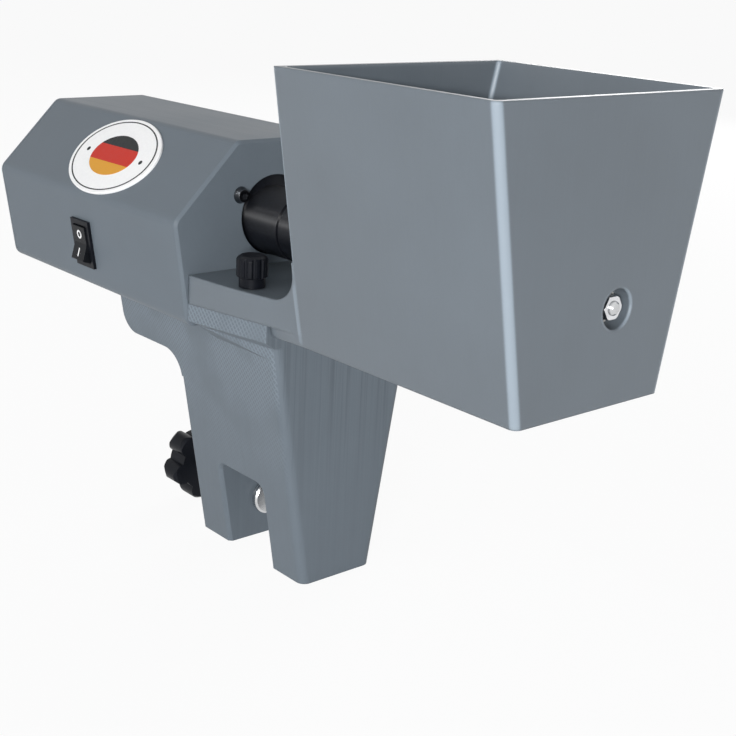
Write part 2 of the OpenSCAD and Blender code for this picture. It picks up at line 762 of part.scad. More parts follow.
module bush_drive() {
    x0 = driven_x1 + fit_gap;
    color("ivory") difference() {
        along_x(x0, shaft_y, shaft_z) cylinder(h = chamber_x0 - x0, r = bush_r);
        along_x(x0 - 1, shaft_y, shaft_z) cylinder(h = 30, r = shaft_r + run_gap);
    }
}

module bush_end() {
    color("ivory") difference() {
        along_x(chamber_x1, shaft_y, shaft_z) cylinder(h = recess_x - chamber_x1, r = bush_r);
        along_x(chamber_x1 - 1, shaft_y, shaft_z) cylinder(h = 20, r = shaft_r + run_gap);
    }
}

module die_plate() {
    color("silver") difference() {
        translate([die_x0, shaft_y - die_w / 2, die_top - die_t]) cube([die_x1 - die_x0, die_w, die_t]);
        for (row = [0:die_rows - 1]) {
            for (i = [0:dough_n - (row % 2)]) {
                translate([(outlet_x0 + outlet_x1) / 2 + (i - (dough_n - (row % 2)) / 2) * dough_pitch,
                    shaft_y + (row - (die_rows - 1) / 2) * dough_row_pitch, die_top - die_t - 1])
                    cylinder(h = die_t + 2, r = dough_r);
            }
        }
        for (x = [die_x0 + 3, die_x1 - 3], s = [-1, 1]) {
            translate([x, shaft_y + s * (die_w / 2 - 3), die_top - die_t - 1]) cylinder(h = die_t + 2, r = m3_r + 0.1);
        }
    }
}

module die_screws() {
    color("silver") for (x = [die_x0 + 3, die_x1 - 3], s = [-1, 1]) {
        translate([x, shaft_y + s * (die_w / 2 - 3), die_top - die_t]) pan_screw(die_t + 5, m3_r - run_gap, 2.6, 1.6);
    }
}

module thumb_insert() {
    color("goldenrod") translate([thumb_x, -thumb_y, seat_z + fit_gap]) difference() {
        cylinder(h = floor_t - fit_gap, r = thumb_stud_r + insert_wall);
        translate([0, 0, -1]) cylinder(h = floor_t + 2, r = thumb_stud_r + run_gap);
    }
}

// ---- rotor ----

// One swept paddle, bounded by two arcs and rounded at its tip
module paddle_outline() {
    bend = rotor_r * 0.9;
    intersection() {
        translate([0, -bend]) difference() {
            circle(bend + paddle_t / 2);
            circle(bend - paddle_t / 2);
        }
        circle(rotor_r);
        translate([shaft_r, -rotor_r]) square([rotor_r, 2 * rotor_r]);
    }
}

module rotor() {
    color("#d8d9d6") along_x(rotor_x0, shaft_y, shaft_z) difference() {
        union() {
            cylinder(h = rotor_x1 - rotor_x0, r = shaft_r + 4);
            translate([0, 0, 1]) linear_extrude(rotor_x1 - rotor_x0 - 2) {
                for (i = [0:paddles - 1]) {
                    rotate(i * 360 / paddles) paddle_outline();
                }
            }
        }
        translate([0, 0, -1]) cylinder(h = rotor_x1 - rotor_x0 + 2, r = shaft_r + run_gap / 2);
    }
}

module rotor_shaft() {
    color("silver") along_x(driven_x0 + 1.2, shaft_y, shaft_z) {
        cylinder(h = recess_x - driven_x0 - 1.2 - fit_gap, r = shaft_r);
        cylinder(h = hopper_x1 - driven_x0 - 2.2, r = thread_r);
        translate([0, 0, hopper_x1 - driven_x0 - 2.2]) cylinder(h = 0.8, r1 = thread_r, r2 = thread_r - 0.8);
    }
}

module end_washer() {
    color("silver") along_x(washer_x, shaft_y, shaft_z) difference() {
        cylinder(h = washer_t, r = 2 * thread_r);
        translate([0, 0, -1]) cylinder(h = washer_t + 2, r = thread_r + run_gap);
    }
}

module end_nut() {
    color("gainsboro") along_x(nut_x, shaft_y, shaft_z) difference() {
        intersection() {
            cylinder(h = nut_t, r = nut_af / 2 / cos(30), $fn = 6);
            cylinder(h = nut_t, r1 = nut_af / 2 + nut_t, r2 = nut_af / 2 + 0.25);
        }
        translate([0, 0, -1]) cylinder(h = nut_t + 2, r = thread_r + run_gap);
    }
}

// ---- thumb screw ----

module thumb_stud() {
    color("silver") translate([thumb_x, -thumb_y, seat_z + run_gap])
        cylinder(h = floor_t + thumb_collar_h + thumb_h - 3, r = thumb_stud_r);
}

module thumb_knob() {
    color("#15181d") translate([thumb_x, -thumb_y, floor_z + fit_gap]) difference() {
        rotate_extrude() polygon([[0, 0], [thumb_collar_r, 0], [thumb_collar_r, thumb_collar_h],
            [thumb_r, thumb_collar_h + 0.5], [thumb_r, thumb_collar_h + thumb_h - 1.6],
            [thumb_r - 0.5, thumb_collar_h + thumb_h - 0.7], [thumb_r - 1.6, thumb_collar_h + thumb_h],
            [0, thumb_collar_h + thumb_h]]);
        for (i = [0:thumb_flutes - 1]) {
            rotate(i * 360 / thumb_flutes) translate([thumb_r + 0.2, 0, thumb_collar_h - 1])
                cylinder(h = thumb_h + 2, r = thumb_r * 1.6 / thumb_flutes, $fn = 24);
        }
        translate([0, 0, -1]) cylinder(h = thumb_collar_h + thumb_h - 2, r = thumb_stud_r + run_gap);
    }
}

// ---- switch and inlet ----

module bezel() {
    color("#15181d") on_front() difference() {
        union() {
            translate([-bezel_w / 2, -bezel_t, -bezel_h / 2]) cube([bezel_w, bezel_t, bezel_h]);
            translate([-bezel_w / 2 + 1 + fit_gap, -e, -bezel_h / 2 + 1 + fit_gap])
                cube([bezel_w - 2 - 2 * fit_gap, 6, bezel_h - 2 - 2 * fit_gap]);
        }
        translate([-bezel_w / 2 + bezel_rim, -bezel_t - 1, -bezel_h / 2 + bezel_rim])
            cube([bezel_w - 2 * bezel_rim, 10 + bezel_t, bezel_h - 2 * bezel_rim]);
    }
}

module switch_body() {
    color("#15181d") on_front() translate([-bezel_w / 2 + 1 + fit_gap, 6, -bezel_h / 2 + 1 + fit_gap])
        cube([bezel_w - 2 - 2 * fit_gap, 8, bezel_h - 2 - 2 * fit_gap]);
}

module switch_terminals() {
    color("silver") on_front() for (z = [-5, 5]) {
        translate([-2.4, 14, z - 0.4]) cube([4.8, 7, 0.8]);
    }
}

// The rocker lies with its upper half pressed in
module rocker() {
    half = rocker_h / 2;
    color("#15181d") on_front() rotate([-rocker_tilt, 0, 0]) intersection() {
        translate([-rocker_w / 2, 0, 0]) rotate([90, 0, 90]) linear_extrude(rocker_w)
            polygon([[-bezel_t - 2.4, -half], [-bezel_t - 0.6, 0], [-bezel_t - 2.4, half], [1.5, half], [4, half - 4],
                [4, 4 - half], [1.5, -half]]);
        along_x(-rocker_w / 2) cylinder(h = rocker_w, r = half);
    }
}

module inlet_socket() {
    color("#15181d") along_x(cover_x0 + 0.2, 0, gear_z) difference() {
        union() {
            cylinder(h = 1, r = inlet_r);
            cylinder(h = 14, r = inlet_r - 1.5 - run_gap);
        }
        difference() {
            translate([0, 0, -1]) cylinder(h = 11, r = 2.8);
            translate([0, 0, 0.5]) cylinder(h = 20, r = 1);
        }
    }
}

module inlet_nut() {
    color("silver") along_x(plate_x1, 0, gear_z) difference() {
        cylinder(h = 2.4, r = inlet_r + 1.5, $fn = 6);
        translate([0, 0, -1]) cylinder(h = 5, r = inlet_r - 1.5);
    }
}

// ---- clamp ----

module clamp_pad() {
    color("gainsboro") along_x(pad_x0, 0, clamp_z) difference() {
        rotate_extrude() polygon([[0, 0], [pad_r - 1.5, 0], [pad_r, 1], [pad_r, pad_t - 0.8], [pad_r - 0.8, pad_t],
            [0, pad_t]]);
        translate([0, 0, -1]) cylinder(h = pad_t - 0.5, r = clamp_r - 1 + run_gap);
    }
}

module clamp_screw() {
    color("silver") along_x(star_x0 + 3, 0, clamp_z) {
        cylinder(h = pad_x0 - star_x0 - 3 - fit_gap / 2, r = clamp_r);
        cylinder(h = pad_x0 - star_x0 - 3 + pad_t - 1.5 - fit_gap, r = clamp_r - 1);
    }
}

// Outline of the star knob: round lobes joined by hollows
module star_outline() {
    lobe_r = star_r * 0.27;
    difference() {
        union() {
            circle(star_r - lobe_r);
            for (i = [0:star_lobes - 1]) {
                rotate(15 + i * 360 / star_lobes) translate([star_r - lobe_r, 0]) circle(lobe_r);
            }
        }
        for (i = [0:star_lobes - 1]) {
            rotate(15 + (i + 0.5) * 360 / star_lobes) translate([star_r, 0]) circle(star_r * 0.22);
        }
    }
}

module star_knob() {
    color("#15181d") along_x(star_x0, 0, clamp_z) difference() {
        union() {
            intersection() {
                linear_extrude(star_t) star_outline();
                rotate_extrude() polygon([[0, 0], [star_r - 3, 0], [star_r - 0.8, 1], [star_r + 0.1, 3],
                    [star_r + 0.1, star_t - 2], [star_r - 1.2, star_t], [0, star_t]]);
            }
        }
        translate([0, 0, 3 - run_gap]) cylinder(h = star_t, r = clamp_r + run_gap / 2);
    }
}

frame_leg();
clamp_insert();
motor_cover();
end_plate();
end_screws();
cover_screws();
motor_can();
gearbox();
motor_screws();
bezel();
switch_body();
switch_terminals();
inlet_socket();
inlet_nut();
output_shaft();
drive_coupling();
drive_set_screw();
hopper();
bush_drive();
bush_end();
die_plate();
die_screws();
thumb_insert();
rotor();
rotor_shaft();
driven_coupling();
driven_set_screw();
end_washer();
end_nut();
thumb_stud();
thumb_knob();
rocker();
clamp_pad();
clamp_screw();
star_knob();
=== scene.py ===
import bpy
import bmesh
import math
from mathutils import Matrix, Vector


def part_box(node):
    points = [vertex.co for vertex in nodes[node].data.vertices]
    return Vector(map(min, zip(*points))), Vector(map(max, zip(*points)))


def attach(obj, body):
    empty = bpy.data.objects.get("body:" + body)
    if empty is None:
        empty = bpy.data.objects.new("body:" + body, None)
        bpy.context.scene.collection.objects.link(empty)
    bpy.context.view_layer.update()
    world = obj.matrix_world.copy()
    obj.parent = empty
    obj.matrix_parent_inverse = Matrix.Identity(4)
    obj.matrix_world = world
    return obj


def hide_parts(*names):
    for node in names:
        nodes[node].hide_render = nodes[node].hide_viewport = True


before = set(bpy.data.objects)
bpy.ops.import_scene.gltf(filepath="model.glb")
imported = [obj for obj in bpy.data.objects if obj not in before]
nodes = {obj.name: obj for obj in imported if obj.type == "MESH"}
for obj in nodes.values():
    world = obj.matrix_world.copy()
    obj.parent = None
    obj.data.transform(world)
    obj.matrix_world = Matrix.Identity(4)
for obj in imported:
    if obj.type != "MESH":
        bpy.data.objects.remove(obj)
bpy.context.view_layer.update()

scene = bpy.context.scene


# ---------------------------------------------------------------- node helpers
class Tree:
    """A material's node tree with short calls for the nodes used here."""

    def __init__(self, name):
        self.mat = bpy.data.materials.new(name)
        self.mat.use_nodes = True
        self.nt = self.mat.node_tree
        self.nt.nodes.clear()
        self.out = self.add("ShaderNodeOutputMaterial")
        self.bsdf = self.add("ShaderNodeBsdfPrincipled")
        self.link(self.bsdf.outputs["BSDF"], self.out.inputs["Surface"])
        self.coord = self.add("ShaderNodeTexCoord").outputs["Object"]

    def add(self, kind, **props):
        n = self.nt.nodes.new(kind)
        for k, v in props.items():
            setattr(n, k, v)
        return n

    def link(self, a, b):
        self.nt.links.new(a, b)

    def scaled(self, scale, rotation=(0, 0, 0)):
        """The object's coordinates, turned and scaled."""
        m = self.add("ShaderNodeMapping")
        m.inputs["Scale"].default_value = scale
        m.inputs["Rotation"].default_value = rotation
        self.link(self.coord, m.inputs["Vector"])
        return m.outputs["Vector"]

    def noise(self, vector, scale, detail=3.0, rough=0.55):
        n = self.add("ShaderNodeTexNoise")
        n.inputs["Scale"].default_value = scale
        n.inputs["Detail"].default_value = detail
        n.inputs["Roughness"].default_value = rough
        self.link(vector, n.inputs["Vector"])
        return n.outputs["Fac"]

    def wave(self, vector, scale, distortion=0.6, detail_scale=1.0):
        n = self.add("ShaderNodeTexWave")
        n.wave_type = "BANDS"
        n.bands_direction = "X"
        n.inputs["Scale"].default_value = scale
        n.inputs["Distortion"].default_value = distortion
        n.inputs["Detail"].default_value = 2.0
        n.inputs["Detail Scale"].default_value = detail_scale
        self.link(vector, n.inputs["Vector"])
        return n.outputs["Fac"]

    def span(self, value, lo, hi, out_lo, out_hi):
        """The value's range lo to hi mapped on out_lo to out_hi and kept within it."""
        n = self.add("ShaderNodeMapRange")
        n.inputs["From Min"].default_value = lo
        n.inputs["From Max"].default_value = hi
        n.inputs["To Min"].default_value = out_lo
        n.inputs["To Max"].default_value = out_hi
        self.link(value, n.inputs["Value"])
        return n.outputs["Result"]

    def math(self, op, a, b):
        n = self.add("ShaderNodeMath", operation=op)
        for i, v in enumerate((a, b)):
            if isinstance(v, (int, float)):
                n.inputs[i].default_value = v
            else:
                self.link(v, n.inputs[i])
        return n.outputs[0]

    def mix(self, fac, a, b):
        n = self.add("ShaderNodeMix", data_type="RGBA")
        for key, v in ((0, fac), (6, a), (7, b)):
            if isinstance(v, (int, float)):
                n.inputs[key].default_value = v
            elif isinstance(v, tuple):
                n.inputs[key].default_value = v if len(v) == 4 else v + (1.0,)
            else:
                self.link(v, n.inputs[key])
        return n.outputs[2]

    def bump(self, height, strength, distance, normal=None):
        n = self.add("ShaderNodeBump")
        n.inputs["Strength"].default_value = strength
        n.inputs["Distance"].default_value = distance
        self.link(height, n.inputs["Height"])
        if normal is not None:
            self.link(normal, n.inputs["Normal"])
        return n.outputs["Normal"]

    def edges(self, radius):
        """Rounded-edge normal, and a mask that is 1 along sharp edges."""
        b = self.add("ShaderNodeBevel", samples=6)
        b.inputs["Radius"].default_value = radius
        geo = self.add("ShaderNodeNewGeometry")
        dot = self.add("ShaderNodeVectorMath", operation="DOT_PRODUCT")
        self.link(b.outputs["Normal"], dot.inputs[0])
        self.link(geo.outputs["Normal"], dot.inputs[1])
        return b.outputs["Normal"], self.span(dot.outputs["Value"], 0.995, 0.75, 0.0, 1.0)


def rgb(hex_text):
    """Linear colour of an sRGB hex value."""
    vals = [int(hex_text[i:i + 2], 16) / 255 for i in (0, 2, 4)]
    return tuple(v / 12.92 if v <= 0.04045 else ((v + 0.055) / 1.055) ** 2.4 for v in vals)


def shade(colour, k):
    """The colour made k times as bright."""
    return tuple(min(1.0, c * k) for c in colour)


# ---------------------------------------------------------------- materials
# from here on the hopper's upright corners get a painted highlight
CORNER_HIGHLIGHT_FROM_X = 0.0503    # the hopper's walls begin here, beyond its bracket


def printed_plastic(name, colour, streak_axis, streak=0.5, leg=False, rough=0.42, gloss=0.15,
                    bevel=0.0006, corner_highlight=False):
    """Printed slate-grey plastic: faint streaks along the print, fine speckle and softly rounded edges.

    leg adds the hatching of the leg's front and the grain of its flank. The corner-highlight option paints a
    highlight on upright corners, making them paler.
    """
    t = Tree(name)
    normal, edge = t.edges(bevel)
    cloud = t.noise(t.coord, 22.0, 3.0)
    speckle = t.noise(t.coord, 2600.0, 2.0, 0.6)
    fine = {"Z": (900.0, 900.0, 9.0), "X": (9.0, 900.0, 900.0)}[streak_axis]
    wide = {"Z": (260.0, 260.0, 5.0), "X": (5.0, 260.0, 260.0)}[streak_axis]
    s1 = t.noise(t.scaled(fine), 1.0, 2.0, 0.6)
    s2 = t.noise(t.scaled(wide), 1.0, 2.0, 0.5)
    lines = t.math("ADD", t.math("MULTIPLY", s1, 0.6), t.math("MULTIPLY", s2, 0.4))
    base = t.mix(t.span(cloud, 0.3, 0.7, 0.0, 1.0), shade(colour, 0.95), shade(colour, 1.05))
    streaky = t.math("MULTIPLY", t.span(lines, 0.35, 0.65, 0.0, 1.0), 0.35 * streak)
    base = t.mix(streaky, base, shade(colour, 1.22))
    speckled = t.math("MULTIPLY", t.span(speckle, 0.45, 0.75, 0.0, 1.0), 0.22)
    base = t.mix(speckled, base, shade(colour, 0.86))
    if leg:
        geo = t.add("ShaderNodeNewGeometry")
        facing = t.add("ShaderNodeSeparateXYZ")
        t.link(geo.outputs["True Normal"], facing.inputs[0])
        place = t.add("ShaderNodeSeparateXYZ")
        t.link(t.coord, place.inputs[0])
        front = t.span(t.math("ABSOLUTE", facing.outputs["Y"], 0.0), 0.8, 0.9, 0.0, 1.0)
        flank = t.span(t.math("ABSOLUTE", facing.outputs["X"], 0.0), 0.8, 0.9, 0.0, 1.0)
        high = t.span(place.outputs["Z"], 0.030, 0.100, 0.0, 1.0)
        patch = t.span(t.noise(t.coord, 38.0, 2.0), 0.36, 0.56, 0.0, 1.0)
        one = t.wave(t.scaled((1, 1, 1), (0, math.radians(34), 0)), 190.0, 0.8, 3.0)
        two = t.wave(t.scaled((1, 1, 1), (0, math.radians(-50), 0)), 190.0, 0.8, 3.0)
        both = t.span(t.math("MAXIMUM", one, t.math("MULTIPLY", two, 0.8)), 0.45, 0.95, 0.0, 1.0)
        cross = t.math("MULTIPLY", both, t.math("MULTIPLY", t.math("MULTIPLY", front, patch), high))
        base = t.mix(t.math("MULTIPLY", cross, 0.62), base, shade(colour, 1.7))
        groove = t.noise(t.scaled((1.0, 520.0, 5.0)), 1.0, 3.0, 0.7)
        grain = t.math("MULTIPLY", t.span(groove, 0.50, 0.66, 0.0, 1.0), t.math("MULTIPLY", flank, high))
        base = t.mix(t.math("MULTIPLY", grain, 0.55), base, shade(colour, 0.62))
        lines = t.math("ADD", t.math("MULTIPLY", lines, 0.7), t.math("MULTIPLY", cross, 0.6))
        lines = t.math("SUBTRACT", lines, t.math("MULTIPLY", grain, 0.5))
    # edges painted lighter: partly wear, partly a painted highlight along them
    base = t.mix(t.math("MULTIPLY", edge, 0.30), base, shade(colour, 1.6))
    # painted highlight: the hopper's upright corners beyond its bracket made paler, in place of the light
    # they catch
    if corner_highlight:
        turn = t.add("ShaderNodeSeparateXYZ")
        t.link(normal, turn.inputs[0])
        across = t.math("MULTIPLY", t.math("ABSOLUTE", turn.outputs["X"], 0.0),
                        t.math("ABSOLUTE", turn.outputs["Y"], 0.0))
        where = t.add("ShaderNodeSeparateXYZ")
        t.link(t.coord, where.inputs[0])
        beyond = t.span(where.outputs["X"], CORNER_HIGHLIGHT_FROM_X, CORNER_HIGHLIGHT_FROM_X + 0.0005, 0.0, 1.0)
        corner = t.math("MULTIPLY", t.span(across, 0.08, 0.26, 0.0, 1.0), beyond)
        base = t.mix(corner, base, shade(colour, 2.3))
    t.link(base, t.bsdf.inputs["Base Color"])
    dull = t.math("ADD", t.math("MULTIPLY", cloud, 0.5), t.math("MULTIPLY", lines, 0.5))
    t.link(t.span(dull, 0.3, 0.7, rough - 0.05, rough + 0.06), t.bsdf.inputs["Roughness"])
    n = t.bump(lines, 0.30 * streak, 0.0002, normal)
    n = t.bump(speckle, 0.16, 0.00008, n)
    t.link(n, t.bsdf.inputs["Normal"])
    t.bsdf.inputs["Specular IOR Level"].default_value = gloss
    return t.mat


def moulded(name, colour, rough=0.34, grain=0.22, edge_wear_and_highlight=0.25, gloss=0.10):
    """Black moulded plastic with a fine spark-eroded grain and edges painted a little lighter, partly as wear
    and partly as a painted highlight.
    """
    t = Tree(name)
    normal, edge = t.edges(0.00035)
    grainy = t.noise(t.coord, 3200.0, 2.0, 0.65)
    smudge = t.noise(t.coord, 130.0, 3.0)
    base = t.mix(t.span(smudge, 0.3, 0.7, 0.0, 1.0), shade(colour, 0.85), shade(colour, 1.25))
    # edges painted lighter: partly wear, partly a painted highlight along them
    base = t.mix(t.math("MULTIPLY", edge, edge_wear_and_highlight), base, tuple(c + 0.03 for c in colour))
    t.link(base, t.bsdf.inputs["Base Color"])
    t.link(t.span(smudge, 0.3, 0.7, rough - 0.06, rough + 0.08), t.bsdf.inputs["Roughness"])
    t.link(t.bump(grainy, grain, 0.00006, normal), t.bsdf.inputs["Normal"])
    t.bsdf.inputs["Specular IOR Level"].default_value = gloss
    return t.mat


def metal(name, colour, rough, brush=None, scratches=0.25, edge_w=0.00025):
    """Plated or brushed metal; brush stretches the grain along X, Z or round the X axis."""
    t = Tree(name)
    normal, edge = t.edges(edge_w)
    stretch = {None: (1500.0, 1500.0, 1500.0), "X": (30.0, 2200.0, 2200.0), "Z": (2200.0, 2200.0, 30.0),
               "turned": (5200.0, 60.0, 60.0)}[brush]
    grain = t.noise(t.scaled(stretch), 1.0, 3.0, 0.6)
    cloud = t.noise(t.coord, 210.0, 3.0)
    base = t.mix(t.span(cloud, 0.3, 0.7, 0.0, 1.0), shade(colour, 0.88), colour)
    base = t.mix(t.math("MULTIPLY", t.span(grain, 0.35, 0.7, 0.0, 1.0), 0.25), base, shade(colour, 0.7))
    # edges painted lighter: partly wear, partly a painted highlight along them
    base = t.mix(t.math("MULTIPLY", edge, 0.3), base, shade(colour, 1.2))
    t.link(base, t.bsdf.inputs["Base Color"])
    t.bsdf.inputs["Metallic"].default_value = 1.0
    t.link(t.span(grain, 0.3, 0.7, max(rough - 0.07, 0.04), rough + 0.09), t.bsdf.inputs["Roughness"])
    t.link(t.bump(grain, scratches, 0.00005, normal), t.bsdf.inputs["Normal"])
    return t.mat


def lacquer(name, colour, rough=0.42):
    """Black lacquer over a turned steel body: fine rings, and a soft sheen drawn out along its axis."""
    t = Tree(name)
    normal, edge = t.edges(0.00025)
    turned = t.noise(t.scaled((3800.0, 40.0, 40.0)), 1.0, 2.0, 0.5)
    dust = t.noise(t.coord, 900.0, 2.0)
    base = t.mix(t.span(dust, 0.4, 0.7, 0.0, 1.0), shade(colour, 0.8), shade(colour, 1.35))
    # edges painted lighter: partly wear, partly a painted highlight along them
    base = t.mix(t.math("MULTIPLY", edge, 0.5), base, tuple(c + 0.05 for c in colour))
    t.link(base, t.bsdf.inputs["Base Color"])
    t.link(t.span(turned, 0.3, 0.7, rough - 0.03, rough + 0.03), t.bsdf.inputs["Roughness"])
    around = t.add("ShaderNodeTangent", direction_type="RADIAL", axis="X")
    t.link(around.outputs["Tangent"], t.bsdf.inputs["Tangent"])
    t.bsdf.inputs["Anisotropic"].default_value = 1.0
    t.bsdf.inputs["Anisotropic Rotation"].default_value = 0.25
    t.bsdf.inputs["Specular IOR Level"].default_value = 0.4
    t.link(t.bump(turned, 0.02, 0.00002, normal), t.bsdf.inputs["Normal"])
    return t.mat


def print_ink(name, colour, rough=0.42):
    """Printed film of the badge and the marks."""
    t = Tree(name)
    mottle = t.noise(t.coord, 700.0, 3.0)
    dots = t.noise(t.coord, 5200.0, 1.0)
    base = t.mix(t.span(mottle, 0.3, 0.7, 0.0, 1.0), shade(colour, 0.96), colour)
    base = t.mix(t.math("MULTIPLY", t.span(dots, 0.5, 0.75, 0.0, 1.0), 0.10), base, shade(colour, 0.8))
    t.link(base, t.bsdf.inputs["Base Color"])
    t.link(t.span(mottle, 0.3, 0.7, rough - 0.05, rough + 0.06), t.bsdf.inputs["Roughness"])
    t.link(t.bump(dots, 0.06, 0.00003), t.bsdf.inputs["Normal"])
    t.bsdf.inputs["Specular IOR Level"].default_value = 0.15
    return t.mat


SLATE = rgb("687179")
BLACK = (0.006, 0.007, 0.010)
M = {
    # the hopper's slate is set darker than the cover's and the leg's: painted shade against the key lamp that
    # falls on it; its upright corners also get a painted highlight
    "slate_hopper": printed_plastic("slate_hopper", shade(SLATE, 0.80), "Z", 0.45, rough=0.38, gloss=0.6,
                                    bevel=0.0018, corner_highlight=True),
    "slate_cover": printed_plastic("slate_cover", shade(SLATE, 0.90), "X", 0.35),
    "slate_leg": printed_plastic("slate_leg", shade(SLATE, 0.90), "Z", 0.8, leg=True),
    "black": moulded("black_moulded", BLACK),
    "black_rocker": moulded("black_rocker", (0.007, 0.008, 0.010), 0.26, 0.10),
    "lacquer": lacquer("black_lacquer", BLACK),
    "pale": moulded("pale_moulded", (0.68, 0.67, 0.62), 0.45, 0.15, 0.0, 0.5),
    "zinc": metal("zinc_plated", (0.80, 0.81, 0.83), 0.16),
    "black_steel": metal("blackened_steel", (0.10, 0.105, 0.115), 0.16),
    "steel": metal("brushed_steel", (0.62, 0.63, 0.64), 0.26, "X"),
    "turned": metal("turned_steel", (0.66, 0.67, 0.68), 0.22, "turned"),
    "brass": metal("brass_insert", (0.75, 0.55, 0.25), 0.28, "turned"),
    "white_ink": print_ink("white_film", rgb("f4f4f4")),
    "dark_ink": print_ink("dark_film", rgb("1d2022")),
    "red_ink": print_ink("red_film", rgb("bf2f22")),
    "amber_ink": print_ink("amber_film", rgb("d79a34")),
}
LOOK = {
    "slate_leg": ("frame_leg",),
    "slate_cover": ("motor_cover", "end_plate"),
    "slate_hopper": ("hopper",),
    "black": ("bezel", "switch_body", "inlet_socket", "drive_coupling", "driven_coupling", "thumb_knob",
              "star_knob"),
    "black_rocker": ("rocker",),
    "lacquer": ("gearbox",),
    "pale": ("bush_drive", "bush_end", "rotor"),
    "zinc": ("end_screws", "cover_screws", "die_screws", "inlet_nut", "end_nut", "end_washer"),
    "black_steel": ("motor_screws",),
    "steel": ("switch_terminals", "drive_set_screw", "die_plate", "driven_set_screw"),
    "turned": ("motor_can", "output_shaft", "rotor_shaft", "thumb_stud", "clamp_pad", "clamp_screw"),
    "brass": ("clamp_insert", "thumb_insert"),
}
for look, names in LOOK.items():
    for name in names:
        mesh = nodes[name].data
        if not mesh.materials:
            mesh.materials.append(M[look])
        for i in range(len(mesh.materials)):
            mesh.materials[i] = M[look]


# ---------------------------------------------------------------- pieces
def piece(name, bm, material, body, smooth=True):
    """Turn a bmesh into an object that rides on a body and takes one of the finishes in M."""
    mesh = bpy.data.meshes.new(name)
    bmesh.ops.recalc_face_normals(bm, faces=bm.faces)
    bm.to_mesh(mesh)
    bm.free()
    for p in mesh.polygons:
        p.use_smooth = smooth
    ob = bpy.data.objects.new(name, mesh)
    scene.collection.objects.link(ob)
    mesh.materials.append(M[material])
    if smooth:
        mod = ob.modifiers.new("edges", "EDGE_SPLIT")
        mod.split_angle = math.radians(32)
    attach(ob, body)
    return ob


def lathe(bm, profile, place, steps=96):
    """Closed turned solid; profile is (radius, height) pairs and place a matrix."""
    rings = []
    for r, z in profile:
        if r < 1e-9:
            rings.append([bm.verts.new(place @ Vector((0, 0, z)))])
        else:
            rings.append([bm.verts.new(place @ Vector((r * math.cos(a), r * math.sin(a), z)))
                          for a in (2 * math.pi * i / steps for i in range(steps))])
    for a, b in zip(rings, rings[1:]):
        for i in range(steps):
            j = (i + 1) % steps
            if len(a) == 1:
                bm.faces.new((a[0], b[i], b[j]))
            elif len(b) == 1:
                bm.faces.new((a[i], a[j], b[0]))
            else:
                bm.faces.new((a[i], a[j], b[j], b[i]))


def slab(bm, outline, z0, z1, place):
    """Closed prism over an outline of (x, y) points."""
    low = [bm.verts.new(place @ Vector((x, y, z0))) for x, y in outline]
    top = [bm.verts.new(place @ Vector((x, y, z1))) for x, y in outline]
    bm.faces.new(low[::-1])
    bm.faces.new(top)
    for i in range(len(outline)):
        j = (i + 1) % len(outline)
        bm.faces.new((low[i], low[j], top[j], top[i]))


def basis(origin, x, y):
    """Matrix whose X and Y run along x and y and whose Z is their normal."""
    x, y = Vector(x).normalized(), Vector(y).normalized()
    z = x.cross(y)
    m = Matrix((x, y, z)).transposed().to_4x4()
    m.translation = Vector(origin)
    return m


# badge on the cover's front upper facet: an oval white film disc with a thin dark ring and a banded middle
FACET_LOW = Vector((0, -0.0550, 0.1520))    # a point on the facet's lower edge
FACET_UP = Vector((0, 0.0303, 0.0307)).normalized()
BADGE_X = -0.0800
BADGE_UP = 0.0210         # from the facet's lower edge to the badge's middle
BADGE_R = 0.0204          # half its height; its half width is BADGE_OVAL times that
BADGE_OVAL = 1.555
BADGE_STEPS = 128
RING_IN, RING_OUT = BADGE_R * 0.898, BADGE_R * 0.926
ROUNDEL = BADGE_R * 0.53
SUNK = -0.0001            # how far a film reaches into what carries it
RING_FOOT = 0.0010        # heights of the printed films, which start inside the disc
INK_FOOT = 0.0011
BAND_TOP = 0.00138
DOT_R = 0.0011
badge_at = basis(Vector((BADGE_X, 0, 0)) + FACET_LOW + FACET_UP * BADGE_UP, (1, 0, 0), FACET_UP)
badge_oval = badge_at @ Matrix.Diagonal((BADGE_OVAL, 1, 1, 1))
bm = bmesh.new()
lathe(bm, [(0, SUNK), (BADGE_R - 0.0002, SUNK), (BADGE_R, 0.0001), (BADGE_R, 0.0009),
           (BADGE_R - 0.00025, 0.0012), (BADGE_R * 0.5, 0.00128), (0, 0.0013)], badge_oval, BADGE_STEPS)
piece("badge_disc", bm, "white_ink", "base")
bm = bmesh.new()
lathe(bm, [(RING_IN, RING_FOOT), (RING_OUT, RING_FOOT), (RING_OUT, 0.00128),
           (RING_IN, 0.00129), (RING_IN, RING_FOOT)], badge_oval, BADGE_STEPS)
piece("badge_ring", bm, "dark_ink", "base")


def band(lo, hi):
    """Outline of the part of the roundel between two level chords."""
    n = 28
    a0, a1 = math.asin(lo / ROUNDEL), math.asin(hi / ROUNDEL)
    pts = [(ROUNDEL * math.cos(a0 + (a1 - a0) * i / n), ROUNDEL * math.sin(a0 + (a1 - a0) * i / n))
           for i in range(n + 1)]
    pts += [(-x, y) for x, y in reversed(pts)]
    clean = []
    for q in pts:
        if not clean or math.dist(q, clean[-1]) > 1e-6:
            clean.append(q)
    if math.dist(clean[0], clean[-1]) < 1e-6:
        clean.pop()
    return clean


